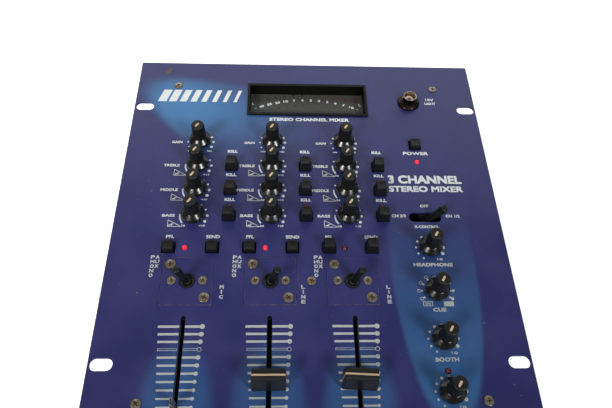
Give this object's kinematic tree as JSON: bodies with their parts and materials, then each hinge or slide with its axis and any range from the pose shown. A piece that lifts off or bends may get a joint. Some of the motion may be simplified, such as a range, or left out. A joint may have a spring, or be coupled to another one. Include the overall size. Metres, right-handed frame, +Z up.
{
  "type": "dj mixer",
  "caption": "Ten-inch rack-format DJ mixer with channel faders, crossfader, EQ and level knobs, kill, cue and send buttons, input toggles, LED level meter and lamp socket.",
  "frame": {"origin": "centre of the footprint at the underside of the feet", "axes": "+Z up out of the control panel, +Y towards the rear edge with the sockets, +X to the user's right"},
  "size_m": [0.254, 0.3556, 0.1028],
  "materials": {
    "violet_paint": "satin violet-blue enamel with a light blue screen-printed glow and white print",
    "black_paint": "fine-textured black powder coat",
    "knob_plastic": "black, glossy skirt and satin ribbed cap with a cream pointer line",
    "button_plastic": "satin black",
    "cap_plastic": "satin black with a tan index line",
    "lever_plastic": "satin black with a slight green cast",
    "meter_plastic": "black moulded frame, slightly glossy and dusty",
    "scale_print": "dark grey matt printed scale with white numbers",
    "bronze_plated": "tarnished dark bronze plating with a bright rim",
    "zinc_steel": "plain zinc-plated steel",
    "socket_plastic": "black moulded plastic with nickel contacts",
    "circuit_board": "green solder mask with soldered components",
    "foot_rubber": "matt black rubber"
  },
  "bodies": {
    "case": {"top_panel": "violet_paint", "chassis": "black_paint", "meter_bezel": "meter_plastic", "meter_board": "scale_print", "lamp_socket": "bronze_plated", "toggle_plate_1": "violet_paint", "toggle_plate_2": "violet_paint", "toggle_plate_3": "violet_paint", "crossfader_plate": "violet_paint", "main_board": "circuit_board", "transformer": "zinc_steel", "power_inlet": "socket_plastic", "rear_jack_block": "socket_plastic", "foot_1": "foot_rubber", "foot_2": "foot_rubber", "foot_3": "foot_rubber", "foot_4": "foot_rubber"},
    "gain_knob_1": {"gain_knob_1": "knob_plastic"},
    "treble_knob_1": {"treble_knob_1": "knob_plastic"},
    "middle_knob_1": {"middle_knob_1": "knob_plastic"},
    "bass_knob_1": {"bass_knob_1": "knob_plastic"},
    "gain_knob_2": {"gain_knob_2": "knob_plastic"},
    "treble_knob_2": {"treble_knob_2": "knob_plastic"},
    "middle_knob_2": {"middle_knob_2": "knob_plastic"},
    "bass_knob_2": {"bass_knob_2": "knob_plastic"},
    "gain_knob_3": {"gain_knob_3": "knob_plastic"},
    "treble_knob_3": {"treble_knob_3": "knob_plastic"},
    "middle_knob_3": {"middle_knob_3": "knob_plastic"},
    "bass_knob_3": {"bass_knob_3": "knob_plastic"},
    "headphone_knob": {"headphone_knob": "knob_plastic"},
    "cue_knob": {"cue_knob": "knob_plastic"},
    "booth_knob": {"booth_knob": "knob_plastic"},
    "master_knob": {"master_knob": "knob_plastic"},
    "treble_kill_button_1": {"treble_kill_button_1": "button_plastic"},
    "middle_kill_button_1": {"middle_kill_button_1": "button_plastic"},
    "bass_kill_button_1": {"bass_kill_button_1": "button_plastic"},
    "pfl_button_1": {"pfl_button_1": "button_plastic"},
    "send_button_1": {"send_button_1": "button_plastic"},
    "treble_kill_button_2": {"treble_kill_button_2": "button_plastic"},
    "middle_kill_button_2": {"middle_kill_button_2": "button_plastic"},
    "bass_kill_button_2": {"bass_kill_button_2": "button_plastic"},
    "pfl_button_2": {"pfl_button_2": "button_plastic"},
    "send_button_2": {"send_button_2": "button_plastic"},
    "treble_kill_button_3": {"treble_kill_button_3": "button_plastic"},
    "middle_kill_button_3": {"middle_kill_button_3": "button_plastic"},
    "bass_kill_button_3": {"bass_kill_button_3": "button_plastic"},
    "pfl_button_3": {"pfl_button_3": "button_plastic"},
    "send_button_3": {"send_button_3": "button_plastic"},
    "power_button": {"power_button": "button_plastic"},
    "input_toggle_1": {"input_toggle_1": "lever_plastic"},
    "input_toggle_2": {"input_toggle_2": "lever_plastic"},
    "input_toggle_3": {"input_toggle_3": "lever_plastic"},
    "assign_toggle": {"assign_toggle": "lever_plastic"},
    "fader_1": {"fader_lever_1": "zinc_steel"},
    "fader_2": {"fader_lever_2": "zinc_steel", "fader_cap_2": "cap_plastic"},
    "fader_3": {"fader_lever_3": "zinc_steel", "fader_cap_3": "cap_plastic"},
    "crossfader": {"fader_lever_cross": "zinc_steel", "fader_cap_cross": "cap_plastic"}
  },
  "joints": [
    {"name": "gain_knob_1_turn", "type": "hinge", "parent": "case", "child": "gain_knob_1", "pos_m": [-0.0762, 0.1003, 0.083], "axis": [0, 0, -1], "range_deg": [0, 294]},
    {"name": "treble_knob_1_turn", "type": "hinge", "parent": "case", "child": "treble_knob_1", "pos_m": [-0.0762, 0.0801, 0.083], "axis": [0, 0, -1], "range_deg": [0, 294]},
    {"name": "middle_knob_1_turn", "type": "hinge", "parent": "case", "child": "middle_knob_1", "pos_m": [-0.0762, 0.06, 0.083], "axis": [0, 0, -1], "range_deg": [0, 294]},
    {"name": "bass_knob_1_turn", "type": "hinge", "parent": "case", "child": "bass_knob_1", "pos_m": [-0.0762, 0.04, 0.083], "axis": [0, 0, -1], "range_deg": [0, 294]},
    {"name": "gain_knob_2_turn", "type": "hinge", "parent": "case", "child": "gain_knob_2", "pos_m": [-0.0254, 0.1003, 0.083], "axis": [0, 0, -1], "range_deg": [0, 294]},
    {"name": "treble_knob_2_turn", "type": "hinge", "parent": "case", "child": "treble_knob_2", "pos_m": [-0.0254, 0.0801, 0.083], "axis": [0, 0, -1], "range_deg": [0, 294]},
    {"name": "middle_knob_2_turn", "type": "hinge", "parent": "case", "child": "middle_knob_2", "pos_m": [-0.0254, 0.06, 0.083], "axis": [0, 0, -1], "range_deg": [0, 294]},
    {"name": "bass_knob_2_turn", "type": "hinge", "parent": "case", "child": "bass_knob_2", "pos_m": [-0.0254, 0.04, 0.083], "axis": [0, 0, -1], "range_deg": [0, 294]},
    {"name": "gain_knob_3_turn", "type": "hinge", "parent": "case", "child": "gain_knob_3", "pos_m": [0.0254, 0.1003, 0.083], "axis": [0, 0, -1], "range_deg": [0, 294]},
    {"name": "treble_knob_3_turn", "type": "hinge", "parent": "case", "child": "treble_knob_3", "pos_m": [0.0254, 0.0801, 0.083], "axis": [0, 0, -1], "range_deg": [0, 294]},
    {"name": "middle_knob_3_turn", "type": "hinge", "parent": "case", "child": "middle_knob_3", "pos_m": [0.0254, 0.06, 0.083], "axis": [0, 0, -1], "range_deg": [0, 294]},
    {"name": "bass_knob_3_turn", "type": "hinge", "parent": "case", "child": "bass_knob_3", "pos_m": [0.0254, 0.04, 0.083], "axis": [0, 0, -1], "range_deg": [0, 294]},
    {"name": "headphone_knob_turn", "type": "hinge", "parent": "case", "child": "headphone_knob", "pos_m": [0.0767, 0.0168, 0.083], "axis": [0, 0, -1], "range_deg": [0, 294]},
    {"name": "cue_knob_turn", "type": "hinge", "parent": "case", "child": "cue_knob", "pos_m": [0.0767, -0.0132, 0.083], "axis": [0, 0, -1], "range_deg": [0, 294]},
    {"name": "booth_knob_turn", "type": "hinge", "parent": "case", "child": "booth_knob", "pos_m": [0.0767, -0.0435, 0.083], "axis": [0, 0, -1], "range_deg": [0, 294]},
    {"name": "master_knob_turn", "type": "hinge", "parent": "case", "child": "master_knob", "pos_m": [0.0767, -0.0738, 0.083], "axis": [0, 0, -1], "range_deg": [0, 294]},
    {"name": "treble_kill_button_1_press", "type": "slide", "parent": "case", "child": "treble_kill_button_1", "axis": [0, 0, -1], "range_m": [0, 0.004], "stiffness_N_per_m": 120, "springref_m": -0.002},
    {"name": "middle_kill_button_1_press", "type": "slide", "parent": "case", "child": "middle_kill_button_1", "axis": [0, 0, -1], "range_m": [0, 0.004], "stiffness_N_per_m": 120, "springref_m": -0.002},
    {"name": "bass_kill_button_1_press", "type": "slide", "parent": "case", "child": "bass_kill_button_1", "axis": [0, 0, -1], "range_m": [0, 0.004], "stiffness_N_per_m": 120, "springref_m": -0.002},
    {"name": "pfl_button_1_release", "type": "slide", "parent": "case", "child": "pfl_button_1", "axis": [0, 0, 1], "range_m": [0, 0.004]},
    {"name": "send_button_1_release", "type": "slide", "parent": "case", "child": "send_button_1", "axis": [0, 0, 1], "range_m": [0, 0.004]},
    {"name": "treble_kill_button_2_press", "type": "slide", "parent": "case", "child": "treble_kill_button_2", "axis": [0, 0, -1], "range_m": [0, 0.004], "stiffness_N_per_m": 120, "springref_m": -0.002},
    {"name": "middle_kill_button_2_press", "type": "slide", "parent": "case", "child": "middle_kill_button_2", "axis": [0, 0, -1], "range_m": [0, 0.004], "stiffness_N_per_m": 120, "springref_m": -0.002},
    {"name": "bass_kill_button_2_press", "type": "slide", "parent": "case", "child": "bass_kill_button_2", "axis": [0, 0, -1], "range_m": [0, 0.004], "stiffness_N_per_m": 120, "springref_m": -0.002},
    {"name": "pfl_button_2_release", "type": "slide", "parent": "case", "child": "pfl_button_2", "axis": [0, 0, 1], "range_m": [0, 0.004]},
    {"name": "send_button_2_release", "type": "slide", "parent": "case", "child": "send_button_2", "axis": [0, 0, 1], "range_m": [0, 0.004]},
    {"name": "treble_kill_button_3_press", "type": "slide", "parent": "case", "child": "treble_kill_button_3", "axis": [0, 0, -1], "range_m": [0, 0.004], "stiffness_N_per_m": 120, "springref_m": -0.002},
    {"name": "middle_kill_button_3_press", "type": "slide", "parent": "case", "child": "middle_kill_button_3", "axis": [0, 0, -1], "range_m": [0, 0.004], "stiffness_N_per_m": 120, "springref_m": -0.002},
    {"name": "bass_kill_button_3_press", "type": "slide", "parent": "case", "child": "bass_kill_button_3", "axis": [0, 0, -1], "range_m": [0, 0.004], "stiffness_N_per_m": 120, "springref_m": -0.002},
    {"name": "pfl_button_3_press", "type": "slide", "parent": "case", "child": "pfl_button_3", "axis": [0, 0, -1], "range_m": [0, 0.004], "stiffness_N_per_m": 120, "springref_m": -0.002},
    {"name": "send_button_3_press", "type": "slide", "parent": "case", "child": "send_button_3", "axis": [0, 0, -1], "range_m": [0, 0.004], "stiffness_N_per_m": 120, "springref_m": -0.002},
    {"name": "power_button_release", "type": "slide", "parent": "case", "child": "power_button", "axis": [0, 0, 1], "range_m": [0, 0.004]},
    {"name": "input_toggle_1_throw", "type": "hinge", "parent": "case", "child": "input_toggle_1", "pos_m": [-0.0762, -0.0062, 0.08], "axis": [0, 1, 0], "range_deg": [0, 25.4]},
    {"name": "input_toggle_2_throw", "type": "hinge", "parent": "case", "child": "input_toggle_2", "pos_m": [-0.0254, -0.0062, 0.08], "axis": [0, -1, 0], "range_deg": [0, 25.4]},
    {"name": "input_toggle_3_throw", "type": "hinge", "parent": "case", "child": "input_toggle_3", "pos_m": [0.0254, -0.0062, 0.08], "axis": [0, -1, 0], "range_deg": [0, 25.4]},
    {"name": "assign_toggle_throw", "type": "hinge", "parent": "case", "child": "assign_toggle", "pos_m": [0.0767, 0.0396, 0.075], "axis": [0, -1, 0], "range_deg": [0, 60]},
    {"name": "fader_1_slide", "type": "slide", "parent": "case", "child": "fader_1", "axis": [0, 1, 0], "range_m": [-0.0148, 0.0452]},
    {"name": "fader_2_slide", "type": "slide", "parent": "case", "child": "fader_2", "axis": [0, 1, 0], "range_m": [-0.0279, 0.0321]},
    {"name": "fader_3_slide", "type": "slide", "parent": "case", "child": "fader_3", "axis": [0, 1, 0], "range_m": [-0.0279, 0.0321]},
    {"name": "crossfader_slide", "type": "slide", "parent": "case", "child": "crossfader", "axis": [1, 0, 0], "range_m": [-0.0225, 0.0225]}
  ]
}
